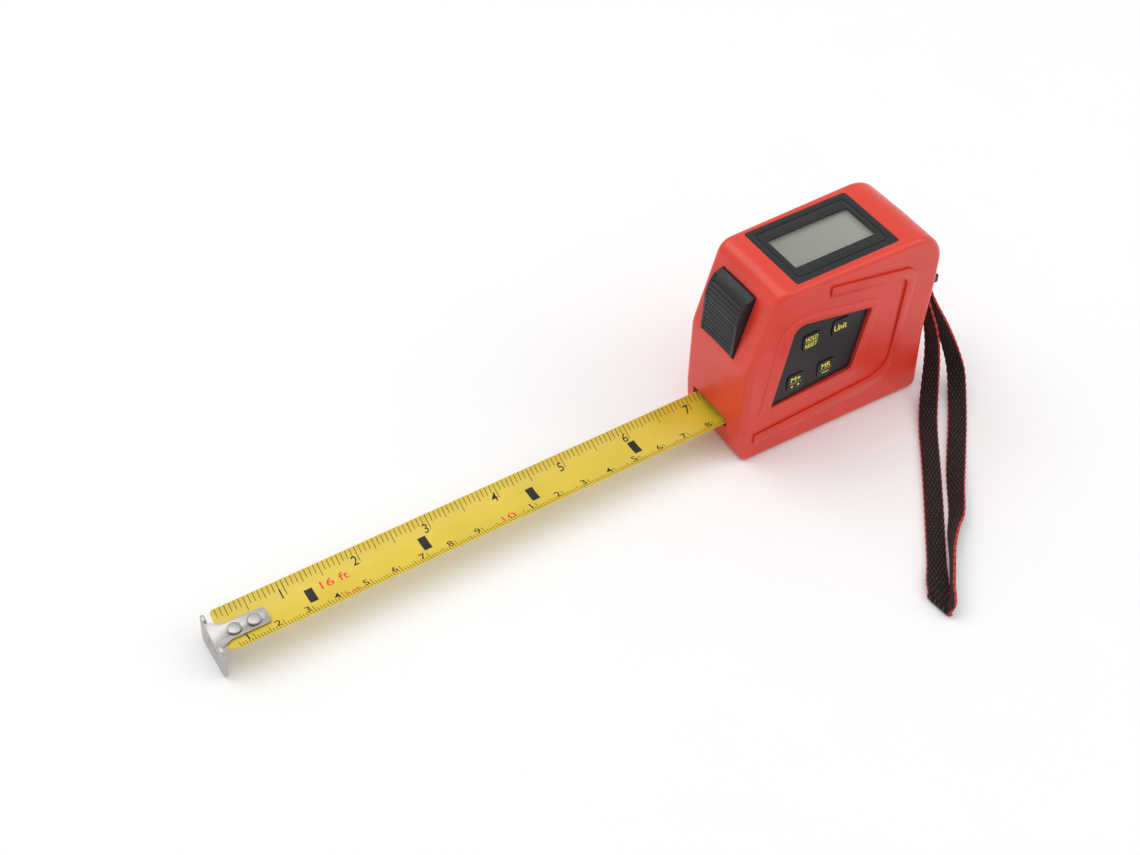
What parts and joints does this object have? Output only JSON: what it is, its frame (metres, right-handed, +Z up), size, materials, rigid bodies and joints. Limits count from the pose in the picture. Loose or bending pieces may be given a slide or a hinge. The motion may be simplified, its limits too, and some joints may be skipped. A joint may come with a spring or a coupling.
{
  "type": "tape measure",
  "caption": "Digital tape measure: red plastic case with a display in the top, a keypad in the side, a thumb lock, a pull-out printed steel blade with an end hook, and a wrist strap.",
  "frame": {"origin": "centre of the case's base, on the surface that it stands on", "axes": "+Z up, the blade pulls out towards -X, the keypad side faces -Y"},
  "size_m": [0.2728, 0.1235, 0.0717],
  "materials": {
    "case_plastic": "semi-gloss",
    "black_plastic": "satin",
    "blade_enamel": "gloss lacquer",
    "steel": "nickel plated",
    "spring_steel": "blued",
    "clear_pane": "clear",
    "display_glass": "clear",
    "board_laminate": "satin",
    "chip_plastic": "matt",
    "rubber": "matt",
    "reel_plastic": "satin",
    "contact_metal": "plated",
    "cell_steel": "polished",
    "strap_fabric": "woven",
    "key_plastic": "satin"
  },
  "bodies": {
    "case": {"axle_clip": "steel", "blade": "blade_enamel", "blade_inner_run": "blade_enamel", "board_link": "board_laminate", "case_far": "case_plastic", "case_near": "case_plastic", "case_screw_1": "steel", "case_screw_2": "steel", "case_screw_3": "steel", "case_screw_4": "steel", "cell_1": "cell_steel", "cell_2": "cell_steel", "cell_holder": "reel_plastic", "contact_inner": "contact_metal", "contact_outer": "contact_metal", "contact_strip_far": "rubber", "contact_strip_near": "rubber", "display_bezel": "black_plastic", "display_board": "board_laminate", "display_glass": "display_glass", "display_window": "clear_pane", "encoder_bracket": "reel_plastic", "encoder_sensor": "chip_plastic", "keypad_panel": "black_plastic", "main_board": "board_laminate", "main_chip": "chip_plastic", "strap": "strap_fabric", "strap_lug": "black_plastic", "switch_hold": "chip_plastic", "switch_recall": "chip_plastic", "switch_store": "chip_plastic", "switch_unit": "chip_plastic"},
    "blade_end": {"hook": "steel", "hook_rivet_1": "steel", "hook_rivet_2": "steel"},
    "reel": {"reel_drum": "reel_plastic", "reel_cover": "reel_plastic", "blade_coil": "blade_enamel", "power_spring": "spring_steel"},
    "encoder": {"encoder_wheel": "reel_plastic", "encoder_tyre": "rubber"},
    "lock": {"thumb_lock": "black_plastic", "lock_arm": "reel_plastic", "lock_pad": "rubber"},
    "cap": {"cell_cap": "black_plastic"},
    "key_hold": {"key_hold": "key_plastic"},
    "key_unit": {"key_unit": "key_plastic"},
    "key_store": {"key_store": "key_plastic"},
    "key_recall": {"key_recall": "key_plastic"}
  },
  "joints": [
    {"name": "blade_slide", "type": "slide", "parent": "case", "child": "blade_end", "axis": [-1, 0, 0], "range_m": [-0.1818, 0], "deforming": ["blade"]},
    {"name": "reel_turn", "type": "hinge", "parent": "case", "child": "reel", "pos_m": [0.004, 0, 0.02993], "axis": [0, 1, 0], "range_deg": [-501, 1]},
    {"name": "encoder_turn", "type": "hinge", "parent": "case", "child": "encoder", "pos_m": [-0.02, 0, 0.0056], "axis": [0, 1, 0], "range_deg": [-1, 3594]},
    {"name": "thumb_lock_slide", "type": "slide", "parent": "case", "child": "lock", "axis": [0.2957, 0, 0.9553], "range_m": [0, 0.0045]},
    {"name": "cell_cap_turn", "type": "hinge", "parent": "case", "child": "cap", "pos_m": [0.028, 0.01623, 0.0565], "axis": [0, 1, 0], "range_deg": [0, 60]},
    {"name": "key_hold_press", "type": "slide", "parent": "case", "child": "key_hold", "axis": [0, 1, 0], "range_m": [0, 0.0003], "stiffness_N_per_m": 600},
    {"name": "key_unit_press", "type": "slide", "parent": "case", "child": "key_unit", "axis": [0, 1, 0], "range_m": [0, 0.0003], "stiffness_N_per_m": 600},
    {"name": "key_store_press", "type": "slide", "parent": "case", "child": "key_store", "axis": [0, 1, 0], "range_m": [0, 0.0003], "stiffness_N_per_m": 600},
    {"name": "key_recall_press", "type": "slide", "parent": "case", "child": "key_recall", "axis": [0, 1, 0], "range_m": [0, 0.0003], "stiffness_N_per_m": 600}
  ],
  "couplings": [
    {"joint": "reel_turn", "follows": "blade_slide", "rad_per_m": 47.862},
    {"joint": "encoder_turn", "follows": "blade_slide", "rad_per_m": -344.83}
  ]
}
